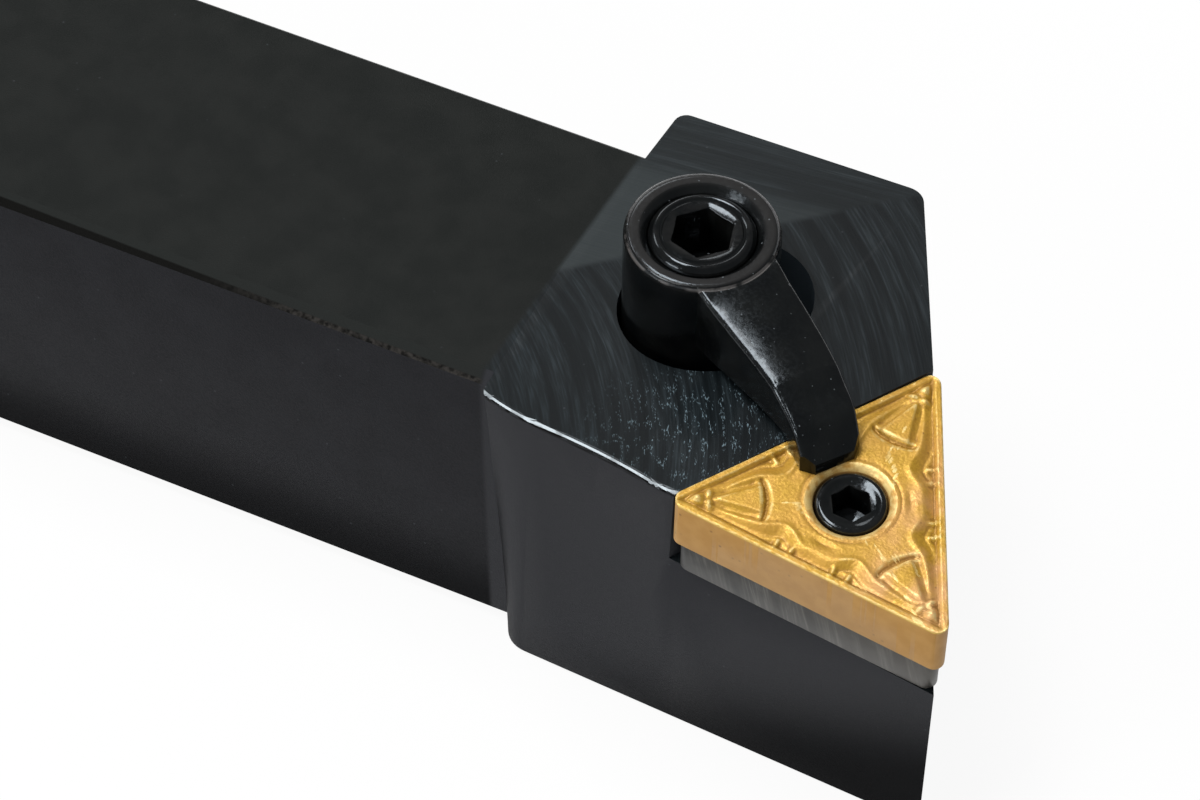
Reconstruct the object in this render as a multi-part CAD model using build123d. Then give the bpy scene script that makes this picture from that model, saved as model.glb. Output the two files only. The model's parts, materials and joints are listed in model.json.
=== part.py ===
from build123d import *
import os
from math import atan2, cos, degrees, hypot, radians, sin, sqrt, tan

# Left-hand external turning tool holder with a double clamp: a lock pin holds the shim and
# centres the triangular insert, and a finger clamp on a differential screw presses it down.
# +X runs along the shank towards the cutting head, +Z is up and +Y is the back of the shank.
# The origin lies on the shank's underside, midway across, at the shoulder where the head starts.

os.makedirs("parts", exist_ok=True)

# Shank and overall sizes
shank_width = 25.0
shank_height = 25.0
overall_length = 150.0  # rear end of the shank to the cutting corner
function_width = 32.0  # back of the shank to the cutting corner
tip_drop = 0.3  # cutting corner below the shank's top
head_reach = 39.3  # shoulder to the cutting corner
shank_chamfer = 0.8

# Insert: equilateral, negative, with a pressed chip groove on both faces
insert_circle = 12.7  # inscribed circle
insert_thickness = 4.76
insert_bore = 5.16
insert_bore_edge = 0.5
nose_radius = 0.8
edge_land = 0.45  # flat strip along the cutting edge
groove_width = 1.5
groove_depth = 0.18

# Attitude of the insert seat
lead_angle = 3.0  # cutting edge to the shank, in plan
front_rake = 6.0  # fall of the insert towards the front
side_rake = 7.0  # fall of the insert towards the cutting edge

# Shim under the insert
shim_thickness = 3.18
shim_inset = 0.27  # set back from the insert's sides
shim_bore = 6.4

# Head
head_back_rise = 4.6  # how far the head stands out behind the shank at the shoulder
head_back_taper = 4.6
head_back_shoulder = 0.4  # the shoulder behind the shank leans forwards by this
head_front_inset = 0.55  # front face behind the insert's end edge
head_side_inset = 0.15  # side face behind the insert's cutting side
near_step = 1.9  # side step at the shoulder, on top
near_shoulder_high = 0.6  # the side's shoulder leans: its start on top and at the bottom
near_shoulder_low = 1.7
near_bow_setback = 3.28  # the side's top edge curves in from here, behind the insert
near_bow_inset = 1.56  # how far inside the insert's side line it is there
near_end_inset = 0.7  # and where it meets the insert's pocket
top_slope = 6.5
front_corner_radius = 2.0
shoulder_radius_low = 2.4
shoulder_radius_high = 0.5
top_edge_round = 0.4
shank_root = 4.0  # shank carried on inside the head

# Clamp and its screw
screw_station = 10.7  # shoulder to the screw, where it leaves the head
screw_lean = 4.0  # towards the insert
screw_diameter = 7.6
screw_neck_diameter = 6.4
screw_neck_length = 2.0
screw_chamfer = 0.45
screw_socket = 4.0  # hexagon across flats
screw_socket_depth = 4.5
screw_socket_turn = 47.0
screw_recess = 0.05  # its top below the boss
screw_length = 22.0
boss_diameter = 11.0
boss_height = 7.2  # above the head
boss_depth = 4.0  # below the head's top
boss_round = 0.45
boss_countersink = 0.55
arm_root_near = 2.8  # half widths of the arm, on its two sides
arm_root_far = 3.4
arm_bend_near = 1.85
arm_bend_far = 3.35
arm_nose_near = 2.0
arm_nose_far = 2.6
arm_nose_corner = 0.8
arm_drop = 0.35  # its top below the boss, at the boss
arm_nose_gap = 0.3  # nose short of the insert's bore
arm_bend_back = 5.0  # bend behind the nose
arm_bend_drop = 2.0  # bend below the boss
arm_bend_round = 1.5
arm_roll_back = 1.7  # where the nose starts to roll down, behind it and above the insert
arm_roll_height = 2.75
arm_nose_height = 0.9  # nose above the insert
arm_pad = 2.2  # length that bears on the insert
arm_edge_round = 0.35
recess_diameter = 13.8
recess_offset = 1.2  # recess ahead of the screw, along the shank
recess_depth = 4.6

# Lock pin
pin_diameter = 5.0
pin_collar_diameter = 7.8
pin_thread_diameter = 6.0
pin_thread_length = 9.0  # in the holder
pin_drop = 0.15  # its top below the insert
pin_chamfer = 0.25
pin_socket = 2.5
pin_socket_depth = 2.6
pin_socket_turn = 4.0

# Clearances
running_gap = 0.07  # radial, on the screw's and the pin's threads
seat_gap = 0.03  # under the clamp's pad and around the pin's collar
arm_gap = 0.6  # arm above the head
hole_runout = 1.5  # hole beyond the end of its screw

# Seat frame: the cutting corner is the origin, X runs along the cutting edge, Y to the wall,
# and Z out of the insert's top face
insert_side = insert_circle * sqrt(3)
tip = Vector(head_reach, shank_width / 2 - function_width, shank_height - tip_drop)
seat_normal = Vector(tan(radians(front_rake)), -tan(radians(side_rake)), 1).normalized()
edge_plan = Vector(cos(radians(lead_angle)), -sin(radians(lead_angle)), 0)
edge_direction = (edge_plan - seat_normal * edge_plan.dot(seat_normal)).normalized()
seat = Plane(origin=tip, x_dir=edge_direction, z_dir=seat_normal).location
seat_across = seat_normal.cross(edge_direction)
insert_centre = Pos(-insert_side / 2, insert_circle / 2)
bore_point = tip + edge_direction * (-insert_side / 2) + seat_across * (insert_circle / 2)
floor_level = -(insert_thickness + shim_thickness)
pocket_wall = Pos(-insert_side, 0) * Rot(0, 0, 60)
reach_all = 3 * shank_width  # longer than any cut has to be

# Clamp frames: one along the leaning screw, one upright with X along the arm
head_top_at_screw = shank_height + screw_station * tan(radians(top_slope))
arm_reach = hypot(bore_point.X - screw_station, bore_point.Y)
arm_heading = degrees(atan2(bore_point.Y, bore_point.X - screw_station))
arm_plan = Vector(cos(radians(arm_heading)), sin(radians(arm_heading)), 0)
screw_axis = arm_plan * sin(radians(screw_lean)) + Vector(0, 0, cos(radians(screw_lean)))
screw_side = (arm_plan - screw_axis * arm_plan.dot(screw_axis)).normalized()
screw_foot = Vector(screw_station, 0, head_top_at_screw)
screw_frame = Plane(origin=screw_foot, x_dir=screw_side, z_dir=screw_axis).location
arm_frame = Plane(origin=screw_foot, x_dir=arm_plan, z_dir=(0, 0, 1)).location


def insert_height(x, y):
    """Height of the insert's top plane above the underside, at a point in plan."""
    away = seat_normal.X * (x - tip.X) + seat_normal.Y * (y - tip.Y)
    return tip.Z - away / seat_normal.Z


def seat_point(along, across, height):
    """Where a line square to the insert, through that point of the seat frame, is at a height."""
    start = tip + edge_direction * along + seat_across * across
    foot = start + seat_normal * ((height - start.Z) / seat_normal.Z)
    return (foot.X, foot.Y)


def triangle(inset):
    """Insert's outline in the seat frame, drawn in from its sides."""
    outline = RegularPolygon(insert_circle - 2 * inset, 3, rotation=90)
    return insert_centre * fillet(outline.vertices(), nose_radius)


def slab(low, high):
    """Block on the insert's side of the pocket wall, between two heights."""
    block = Box(insert_side + 2 * reach_all, reach_all, high - low)
    return pocket_wall * Pos(insert_side / 2, -reach_all / 2, (low + high) / 2) * block


def hexagon(flats, turn):
    return RegularPolygon(flats / 2, 6, major_radius=False, rotation=turn)


def head_outline(height, top):
    """Head's outline in plan at a height: the side is straight low down and bowed on top."""
    side_start = seat_point(-head_reach, head_side_inset, height)
    side_mid = seat_point(-insert_side, head_side_inset, height)
    side_end = seat_point(2.0, head_side_inset, height)
    back = shank_width / 2 + head_back_rise
    back_end = back - side_end[0] * tan(radians(head_back_taper))
    if top:
        start = (near_shoulder_high, -shank_width / 2 - near_step)
        bow = (side_mid[0] - near_bow_setback, side_mid[1] + near_bow_inset)
        side_mid = (side_mid[0], side_mid[1] + near_end_inset)
        heading = (side_end[0] - side_mid[0], side_end[1] - side_mid[1])
        first = (bow[0] - start[0], bow[1] - start[1])
        side = Spline(start, bow, side_mid, tangents=[first, heading])
        radius = shoulder_radius_high
    else:
        slope = (side_mid[1] - side_start[1]) / (side_mid[0] - side_start[0])
        start = (near_shoulder_low, side_mid[1] - slope * (side_mid[0] - near_shoulder_low))
        side = Line(start, side_mid)
        radius = shoulder_radius_low
    rest = Polyline(side_mid, side_end, (side_end[0], back_end), (head_back_shoulder, back), (0, 0), start)
    face = make_face(Curve() + [side, rest])
    corner = face.vertices().sort_by_distance((start[0], start[1], 0))[0]
    return Pos(0, 0, height) * fillet(corner, radius)


def is_side_top(edge):
    """Whether an edge is where the head's top meets its cutting side."""
    middle = edge.center()
    high_enough = middle.Z > shank_height
    return high_enough and middle.Y < -shank_width / 2 - near_step / 2 and edge.length > near_step


def make_holder_body():
    low = head_outline(0, top=False)
    high = head_outline(shank_height + 8, top=True)
    head = loft([low, high], ruled=True)
    above = Pos(0, 0, shank_height) * Rot(0, -top_slope, 0) * Pos(0, 0, reach_all / 2)
    head -= above * Box(3 * reach_all, 3 * reach_all, reach_all)
    front = Rot(0, 0, 120) * Pos(0, -reach_all / 2 + head_front_inset)
    head -= seat * front * Box(3 * reach_all, reach_all, 3 * reach_all)
    upright = head.edges().filter_by(lambda edge: abs((edge @ 1 - edge @ 0).Z) > shank_height / 2)
    head = fillet(upright.sort_by(lambda edge: edge.center().X + edge.center().Y)[-1], front_corner_radius)
    side_top = [edge for edge in head.edges() if is_side_top(edge)]
    head = fillet(side_top, top_edge_round)
    shank_length = overall_length - head_reach + shank_root
    shank = Box(shank_length, shank_width, shank_height)
    shank = Pos(shank_root - shank_length / 2, 0, shank_height / 2) * shank
    long_edges = shank.edges().filter_by(Axis.X)
    rear_edges = shank.faces().sort_by(Axis.X)[0].edges()
    shank = chamfer(long_edges + rear_edges, shank_chamfer)
    body = shank + head
    body -= seat * slab(floor_level, reach_all)
    pin_hole_depth = pin_thread_length + hole_runout
    pin_hole = Cylinder(pin_thread_diameter / 2 + running_gap, pin_hole_depth)
    body -= seat * insert_centre * Pos(0, 0, floor_level - pin_hole_depth / 2) * pin_hole
    recess = Cylinder(recess_diameter / 2, recess_depth + boss_height)
    recess_place = Rot(0, 0, -arm_heading) * Pos(recess_offset, 0, (boss_height - recess_depth) / 2)
    body -= screw_frame * recess_place * recess
    hole_end = boss_height - screw_recess - screw_length - hole_runout
    screw_hole = Cylinder(screw_diameter / 2 + running_gap, -hole_end)
    body -= screw_frame * Pos(0, 0, hole_end / 2) * screw_hole
    return body


def make_shim():
    plate = extrude(triangle(shim_inset), -shim_thickness)
    sink = (pin_collar_diameter - shim_bore) / 2 + seat_gap
    hole = Pos(0, 0, -shim_thickness / 2) * Cylinder(shim_bore / 2, 2 * shim_thickness)
    cone = Pos(0, 0, -sink / 2) * Cone(shim_bore / 2, shim_bore / 2 + sink, sink)
    plate -= insert_centre * (hole + cone)
    return seat * Pos(0, 0, -insert_thickness) * plate


def make_insert():
    body = extrude(triangle(0), -insert_thickness)
    groove = triangle(edge_land) - triangle(edge_land + groove_width)
    cut = extrude(groove, groove_depth)
    body -= Pos(0, 0, -groove_depth) * cut + Pos(0, 0, -insert_thickness) * cut
    bore = Cylinder(insert_bore / 2, 2 * insert_thickness)
    wide = insert_bore / 2 + insert_bore_edge
    flare = Cone(insert_bore / 2, wide, insert_bore_edge)
    bore += Pos(0, 0, -insert_bore_edge / 2) * flare
    bore += Pos(0, 0, insert_bore_edge / 2 - insert_thickness) * Rot(180, 0, 0) * flare
    return seat * (body - insert_centre * bore)


def make_lock_pin():
    collar_top = -insert_thickness - seat_gap
    taper = (pin_collar_diameter - pin_thread_diameter) / 2
    half = [
        (0, floor_level - pin_thread_length),
        (pin_thread_diameter / 2 - pin_chamfer, floor_level - pin_thread_length),
        (pin_thread_diameter / 2, floor_level - pin_thread_length + pin_chamfer),
        (pin_thread_diameter / 2, collar_top - taper),
        (pin_collar_diameter / 2, collar_top),
        (pin_diameter / 2, collar_top),
        (pin_diameter / 2, -pin_drop - pin_chamfer),
        (pin_diameter / 2 - pin_chamfer, -pin_drop),
        (0, -pin_drop),
    ]
    pin = revolve(Plane.XZ * make_face(Polyline(*half, close=True)), Axis.Z)
    socket = extrude(hexagon(pin_socket, pin_socket_turn), -pin_socket_depth)
    pin -= Pos(0, 0, -pin_drop) * socket
    return seat * insert_centre * pin


def make_clamp_screw():
    top = boss_height - screw_recess
    radius = screw_diameter / 2
    neck = screw_neck_diameter / 2
    neck_top = -boss_depth + screw_neck_length / 2
    half = [
        (0, top - screw_length),
        (radius - screw_chamfer, top - screw_length),
        (radius, top - screw_length + screw_chamfer),
        (radius, neck_top - screw_neck_length),
        (neck, neck_top - screw_neck_length + (radius - neck)),
        (neck, neck_top - (radius - neck)),
        (radius, neck_top),
        (radius, top - screw_chamfer),
        (radius - screw_chamfer, top),
        (0, top),
    ]
    screw = revolve(Plane.XZ * make_face(Polyline(*half, close=True)), Axis.Z)
    socket = extrude(hexagon(screw_socket, screw_socket_turn - arm_heading), -screw_socket_depth)
    screw -= Pos(0, 0, top) * socket
    return screw_frame * screw


def is_arm_side(edge):
    """Whether an edge runs along the clamp's arm, beyond the boss."""
    run = edge @ 1 - edge @ 0
    station = (edge.center() - screw_foot).dot(arm_plan)
    return abs(run.dot(arm_plan)) > 0.7 * edge.length and station > boss_diameter / 2


def make_clamp():
    boss_span = boss_height + boss_depth
    boss = Cylinder(boss_diameter / 2, boss_span)
    boss = fillet(boss.edges().sort_by(Axis.Z)[-1], boss_round)
    boss = chamfer(boss.edges().sort_by(Axis.Z)[0], boss_round)
    boss = screw_frame * Pos(0, 0, (boss_height - boss_depth) / 2) * boss

    nose = arm_reach - insert_bore / 2 - arm_nose_gap
    bend = nose - arm_bend_back
    nose_x = screw_station + nose * arm_plan.X
    nose_y = nose * arm_plan.Y
    bearing = insert_height(nose_x, nose_y) - head_top_at_screw
    under_slope = arm_plan.X * tan(radians(top_slope))
    pad_start = nose - arm_pad
    roll = nose - arm_roll_back
    profile = [
        (0, arm_gap),
        (pad_start - 1.0, arm_gap + (pad_start - 1.0) * under_slope),
        (pad_start, bearing),
        (nose, bearing - arm_nose_height),
        (nose, bearing + arm_nose_height),
        (roll, bearing + arm_roll_height),
        (bend, boss_height - arm_bend_drop),
        (boss_diameter / 2, boss_height - arm_drop),
        (0, boss_height - arm_drop),
    ]
    face = make_face(Polyline(*profile, close=True))
    bends = [face.vertices().sort_by_distance((*profile[k], 0))[0] for k in (5, 6)]
    face = fillet(bends, arm_bend_round)
    side = extrude(Plane.XZ * face, boss_diameter, both=True)
    root = boss_diameter / 2
    corner = nose - arm_nose_corner
    near = Spline((0, -arm_root_near), (root, -arm_root_near), (bend, -arm_bend_near), (corner, -arm_nose_near))
    far = Spline((corner, arm_nose_far), (bend, arm_bend_far), (root, arm_root_far), (0, arm_root_far))
    front = [(nose, -arm_nose_near + arm_nose_corner), (nose, arm_nose_far - arm_nose_corner)]
    front = Polyline(near @ 1, *front, far @ 0)
    plan = make_face(Curve() + [near, front, far, Line(far @ 1, near @ 0)])
    outline = extrude(plan, 2 * boss_diameter)
    arm = arm_frame * (side & Pos(0, 0, -boss_diameter) * outline)
    upward = [face for face in arm.faces() if face.normal_at().Z > 0.5]
    sides = [edge for face in upward for edge in face.edges() if is_arm_side(edge)]
    arm = fillet(sides, arm_edge_round)
    arm -= seat * slab(-insert_thickness, seat_gap)
    clamp = boss + arm
    top = boss_height
    bore_radius = screw_diameter / 2 + running_gap
    bore = Pos(0, 0, top - boss_span / 2) * Cylinder(bore_radius, boss_span + 1)
    sink = Cone(bore_radius, bore_radius + boss_countersink, boss_countersink)
    bore += Pos(0, 0, top - boss_countersink / 2) * sink
    return clamp - screw_frame * bore


pieces = {
    "holder_body": make_holder_body(),
    "shim": make_shim(),
    "insert": make_insert(),
    "lock_pin": make_lock_pin(),
    "clamp": make_clamp(),
    "clamp_screw": make_clamp_screw(),
}
for name, piece in pieces.items():
    export_step(piece, f"parts/{name}.step")
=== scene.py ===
import json
from math import atan2, ceil, cos, degrees, exp, hypot, radians, sin, sqrt, tau

import bmesh
import bpy
from mathutils import Matrix, Vector, noise


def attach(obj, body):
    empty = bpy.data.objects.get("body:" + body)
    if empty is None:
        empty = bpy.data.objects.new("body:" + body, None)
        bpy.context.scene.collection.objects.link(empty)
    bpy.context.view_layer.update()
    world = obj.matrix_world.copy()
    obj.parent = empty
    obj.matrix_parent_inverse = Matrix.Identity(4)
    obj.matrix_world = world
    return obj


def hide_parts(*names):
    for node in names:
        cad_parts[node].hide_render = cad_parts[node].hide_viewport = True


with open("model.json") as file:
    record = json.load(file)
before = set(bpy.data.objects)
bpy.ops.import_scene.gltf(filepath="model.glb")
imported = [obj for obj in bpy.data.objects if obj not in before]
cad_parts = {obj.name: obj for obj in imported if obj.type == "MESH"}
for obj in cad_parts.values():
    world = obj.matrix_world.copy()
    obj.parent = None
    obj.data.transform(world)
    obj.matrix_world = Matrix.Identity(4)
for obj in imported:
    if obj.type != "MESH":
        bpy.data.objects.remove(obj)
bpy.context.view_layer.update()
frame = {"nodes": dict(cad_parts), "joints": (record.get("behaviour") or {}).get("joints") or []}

# Sizes are in millimetres and are turned into metres where a mesh is made.
MM = 0.001

# Insert
INSERT_CIRCLE = 12.7
INSERT_SIDE = INSERT_CIRCLE * sqrt(3)
INSERT_THICKNESS = 4.76
INSERT_BORE = 2.58
BORE_FLARE = 0.5
NOSE_RADIUS = 0.8
CUTTING_EDGE_HONE = 0.06
LEAD_ANGLE = radians(3)

# Clamp screw, from its top downwards
SCREW_RADIUS = 3.8
SCREW_TOP = 7.15
SCREW_LENGTH = 22.0
SCREW_NECK = 3.2
SCREW_NECK_PLACE = -4.0
SCREW_SOCKET = 4.0
SCREW_SOCKET_DEPTH = 4.5
SCREW_SOCKET_TURN = 47.0
THREAD_PITCH = 1.0
THREAD_DEPTH = 0.45

# Lock pin
PIN_RADIUS = 2.5
PIN_COLLAR = 3.9
PIN_THREAD_RADIUS = 3.0
PIN_TOP = -0.15
PIN_SEAT = -4.79
PIN_FOOT = -16.94
PIN_SOCKET = 2.5
PIN_SOCKET_DEPTH = 2.6
PIN_SOCKET_TURN = 4.0
PIN_PITCH = 0.75

# Clamp: its arm falls from the boss outwards, and bends down to the insert
BOSS_RADIUS = 5.5
BOSS_ROUND = 0.65
CLAMP_TOP = 6.85
ARM_SLOPE = 0.19
ARM_START = 5.0

# Holder: the upward part of its bevels' normal, how far the clamp's recess reaches from the screw, the
# line where the head's far strip starts (Y over X), the centre of the cutter's sweeps as seen from the
# screw, and where scratches catch the light
SHANK_TOP = 25.0
BEVEL_NORMAL = 0.707
NEAR_SIDE = -12.5
RECESS_REACH = 8.0
STRIP_SLOPE = 0.79
STRIP_START = -1.0
SWEEP_CENTRE = (-34.0, -34.0)
GLINTS_PLACE = (17.0, -12.0, 27.0)

# What the lamps are turned to, in metres
LIT_MIDDLE = (0.0, 0.0, 0.015)


def local_frame(origin, up, along):
    """Matrix of a frame with Z along up and X as near as it can be to along."""
    up = Vector(up).normalized()
    x_axis = (Vector(along) - up * up.dot(Vector(along))).normalized()
    y_axis = up.cross(x_axis)
    turn = Matrix((x_axis, y_axis, up)).transposed().to_4x4()
    return Matrix.Translation(Vector(origin)) @ turn


joints = {joint["name"]: joint for joint in frame["joints"]}
insert_centre = Vector(joints["pin_turn"]["pos_m"])
screw_foot = Vector(joints["screw_turn"]["pos_m"])
screw_up = Vector(joints["screw_turn"]["axis"])
to_insert = Vector((insert_centre.x - screw_foot.x, insert_centre.y - screw_foot.y, 0)).normalized()
SEAT = local_frame(insert_centre, joints["pin_turn"]["axis"], (cos(LEAD_ANGLE), -sin(LEAD_ANGLE), 0))
SCREW = local_frame(screw_foot, screw_up, to_insert)
ARM_HEADING = degrees(atan2(to_insert.y, to_insert.x))


# ---------------------------------------------------------------- meshes


def bell(distance, width):
    return exp(-((distance / width) ** 2))


def ease(value, start, end):
    """Smooth step from 0 at start to 1 at end."""
    share = min(max((value - start) / (end - start), 0.0), 1.0)
    return share * share * (3 - 2 * share)


def skin(rings, closed_ends=(True, True)):
    """Faces that join rings of equally many points, with a fan to a point at each closed end."""
    count = len(rings[0])
    points = [point for ring in rings for point in ring]
    faces = []
    for row in range(len(rings) - 1):
        base = row * count
        for k in range(count):
            after = (k + 1) % count
            faces.append((base + k, base + after, base + count + after, base + count + k))
    for end, (closed, base) in enumerate(zip(closed_ends, (0, (len(rings) - 1) * count))):
        if closed:
            middle = sum((Vector(point) for point in points[base : base + count]), Vector()) / count
            points.append(tuple(middle))
            for k in range(count):
                after = (k + 1) % count
                pair = (base + after, base + k) if end == 0 else (base + k, base + after)
                faces.append((*pair, len(points) - 1))
    return points, faces


def new_piece(name, points, faces, place, materials, body, node, smooth_angle=35):
    """Makes a mesh from points in millimetres in a local frame, and puts it in place of a CAD node."""
    mesh = bpy.data.meshes.new(name)
    mesh.from_pydata(points, [], faces)
    mesh.transform(Matrix.Translation(place.translation / MM) @ place.to_3x3().to_4x4())
    mesh.validate()
    build = bmesh.new()
    build.from_mesh(mesh)
    bmesh.ops.recalc_face_normals(build, faces=build.faces)
    build.to_mesh(mesh)
    build.free()
    return dress(mesh, name, materials, body, node, smooth_angle)


def dress(mesh, name, materials, body, node, smooth_angle=35):
    """Shows a mesh in place of a CAD node, with its materials, on its body."""
    mesh.transform(Matrix.Scale(MM, 4))
    mesh.materials.clear()
    for material in materials:
        mesh.materials.append(material)
    mesh.shade_smooth()
    mesh.set_sharp_from_angle(angle=radians(smooth_angle))
    piece = bpy.data.objects.new(name, mesh)
    bpy.context.scene.collection.objects.link(piece)
    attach(piece, body)
    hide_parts(node)
    return piece


def settled_mesh(source, modifiers, cuts=(), rounded=None, radius=0.0):
    """Mesh of a copy of a CAD node, in millimetres, after modifiers given as (kind, settings).

    It is first cut along planes given as (point, normal), and the edges that rounded picks get a radius.
    """
    mesh = source.data.copy()
    mesh.transform(Matrix.Scale(1 / MM, 4))
    build = bmesh.new()
    build.from_mesh(mesh)
    bmesh.ops.remove_doubles(build, verts=build.verts, dist=0.002)
    bmesh.ops.dissolve_limit(build, angle_limit=radians(0.5), verts=build.verts, edges=build.edges)
    if rounded:
        chosen = [edge for edge in build.edges if rounded(edge)]
        bmesh.ops.bevel(build, geom=chosen, offset=radius, segments=5, profile=0.5, affect="EDGES")
    for point, normal in cuts:
        whole = list(build.verts) + list(build.edges) + list(build.faces)
        bmesh.ops.bisect_plane(build, geom=whole, dist=0.001, plane_co=point, plane_no=normal)
    build.to_mesh(mesh)
    build.free()
    copy = bpy.data.objects.new("copy", mesh)
    bpy.context.scene.collection.objects.link(copy)
    for kind, settings in modifiers:
        modifier = copy.modifiers.new(kind.lower(), kind)
        for key, value in settings.items():
            setattr(modifier, key, value)
    bpy.context.view_layer.update()
    graph = bpy.context.evaluated_depsgraph_get()
    result = bpy.data.meshes.new_from_object(copy.evaluated_get(graph))
    bpy.data.objects.remove(copy)
    return result


# ---------------------------------------------------------------- insert


def insert_outline(steps):
    """Points round the triangle with its rounded corners, equally spaced, from a centre at 0, 0."""
    straight = INSERT_SIDE - 2 * NOSE_RADIUS * sqrt(3)
    arc = NOSE_RADIUS * radians(120)
    total = 3 * (straight + arc)
    points = []
    for k in range(steps):
        side, along = divmod(k * total / steps, straight + arc)
        turn = radians(-90 + 120 * side)
        if along < straight:
            across, out = along - straight / 2, INSERT_CIRCLE / 2
        else:
            angle = (along - straight) / NOSE_RADIUS
            across = straight / 2 + NOSE_RADIUS * sin(angle)
            out = INSERT_CIRCLE / 2 - NOSE_RADIUS * (1 - cos(angle))
        points.append((out * cos(turn) - across * sin(turn), out * sin(turn) + across * cos(turn)))
    return points


def side_place(x, y):
    """Distance in from the nearest side of the triangle, and distance from that side's middle."""
    found = None
    for turn in (radians(-90), radians(30), radians(150)):
        depth = INSERT_CIRCLE / 2 - (x * cos(turn) + y * sin(turn))
        if found is None or depth < found[0]:
            found = (depth, abs(y * cos(turn) - x * sin(turn)))
    return found


def corner_place(x, y):
    """Distance out towards the nearest corner, and distance to the side of that line."""
    found = None
    for turn in (radians(-30), radians(90), radians(210)):
        out = x * cos(turn) + y * sin(turn)
        if found is None or out > found[0]:
            found = (out, abs(y * cos(turn) - x * sin(turn)))
    return found


def chip_relief(x, y):
    """Height of the pressed chip breaker over the insert's face, 0 on the flat round the bore."""
    depth, along = side_place(x, y)
    out, aside = corner_place(x, y)
    # crest of the breaker's wall, its foot, and the groove between the foot and the rim
    crest = 1.42 + 0.85 * bell(along - 2.75, 1.2) + 0.2 * bell(along, 0.9) - 0.35 * ease(along, 6.5, 9.0)
    foot = 0.60 + 0.50 * bell(along - 2.7, 0.85)
    floor = -0.38 + 0.16 * ease(along, 6.6, 9.4)
    height = -0.04
    height += (floor - height) * ease(depth, 0.36, 0.74)
    height += (0.0 - height) * ease(depth, foot, crest)
    height += 0.06 * bell(depth - crest - 0.10, 0.22) * ease(along, 0.6, 2.0) * (1 - ease(along, 5.0, 6.0))
    # a second, lower fold along the wall
    height += 0.09 * bell(depth - foot - 0.10, 0.20) * ease(along, 1.2, 2.4) * (1 - ease(along, 7.5, 9.0))
    # almond-shaped dimple behind each side's middle
    height -= 0.10 * bell(hypot((depth - 2.35) / 0.26, along / 0.75), 1.0)
    # ribs across the groove at mid side
    for rib in (1.6, 2.75):
        height += 0.19 * bell(hypot((depth - 0.84) / 0.36, (along - rib) / 0.19), 1.0)
    # raised wedge that points to the corner, with a curved step at its foot
    wedge_half = max(0.0, (9.4 - out) / 3.1)
    wedge = ease(wedge_half + 0.2 - aside, 0.0, 0.32) * ease(out, 5.85, 6.05) * (1 - ease(out, 8.9, 9.5))
    height += 0.13 * wedge
    height -= 0.20 * bell(out - 5.70 - 0.12 * aside * aside, 0.17) * (1 - ease(aside, 1.4, 1.9))
    # facets beside the wedge slope down to the groove
    height -= 0.14 * bell(aside - wedge_half - 0.46, 0.28) * ease(out, 5.9, 6.8) * (1 - ease(out, 8.6, 9.6))
    # corner boss and the two short ribs behind it
    height += 0.28 * bell(hypot(out - 10.45, aside), 0.44)
    height += 0.19 * bell(out - 9.65, 0.17) * bell(aside - 0.45, 0.40)
    # shallow ring round the bore
    radius = hypot(x, y)
    height -= 0.035 * bell(radius - 3.42, 0.10)
    # slight unevenness from the press
    height += 0.012 * noise.noise((x * 1.3, y * 1.3, 0.0)) + 0.006 * noise.noise((x * 4.0, y * 4.0, 3.0))
    return height


def insert_face(steps, rings, up):
    """Rings of points over one face, from its edge to the mouth of the bore."""
    outline = insert_outline(steps)
    mouth = INSERT_BORE + BORE_FLARE
    made = []
    for row in range(rings + 1):
        share = (row / rings) ** 1.15
        ring = []
        for x, y in outline:
            size = hypot(x, y)
            reach = share * (1 - mouth / size)
            px, py = x * (1 - reach), y * (1 - reach)
            hone = CUTTING_EDGE_HONE * (1 - ease(side_place(px, py)[0], 0.0, 0.08))
            ring.append((px, py, chip_relief(px, py) - hone))
        made.append(ring)
    for radius, drop in ((INSERT_BORE + 0.25, 0.16), (INSERT_BORE + 0.06, 0.38), (INSERT_BORE, 0.55)):
        made.append([(x / hypot(x, y) * radius, y / hypot(x, y) * radius, -drop) for x, y in outline])
    if not up:
        made = [[(x, y, -INSERT_THICKNESS - z) for x, y, z in ring] for ring in made]
    return made


def make_insert(materials):
    """Insert with its chip breaker pressed into both faces, the upper one meshed more finely."""
    steps, upper_rings, lower_rings = 540, 58, 30
    top = insert_face(steps, upper_rings, up=True)
    bottom = insert_face(steps, lower_rings, up=False)
    rings = list(reversed(top)) + bottom
    points, faces = skin(rings + [top[-1]], closed_ends=(False, False))
    piece = new_piece("insert_pressed", points, faces, SEAT, materials, "holder", "insert", 55)
    mesh = piece.data
    build = bmesh.new()
    build.from_mesh(mesh)
    bmesh.ops.remove_doubles(build, verts=build.verts, dist=0.001 * MM)
    build.to_mesh(mesh)
    build.free()
    mark_faces(mesh, SEAT, lambda normal: 1 if abs(normal.z) < 0.35 else 0)
    return piece


def mark_faces(mesh, place, choose):
    """Gives each face the material that choose picks from its normal in a local frame."""
    turn = place.to_3x3().inverted()
    for polygon in mesh.polygons:
        polygon.material_index = choose(turn @ polygon.normal)


# ---------------------------------------------------------------- screws


def hexagon_radius(angle, flats, turn):
    """Distance from the middle of a hexagon to its side at an angle."""
    slice_angle = (angle - turn) % radians(60) - radians(30)
    return flats / 2 / cos(slice_angle)


def thread_radius(angle, height, radius, pitch, hand, start, end):
    """Radius of a thread that runs out at both of its ends."""
    phase = (height / pitch - hand * angle / tau) % 1.0
    tooth = min(max(abs(2 * phase - 1) * 1.25 - 0.12, 0.0), 1.0)
    fade = ease(height, start, start + pitch) * (1 - ease(height, end - pitch, end))
    return radius - THREAD_DEPTH * pitch * (1 - tooth) * fade


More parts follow.
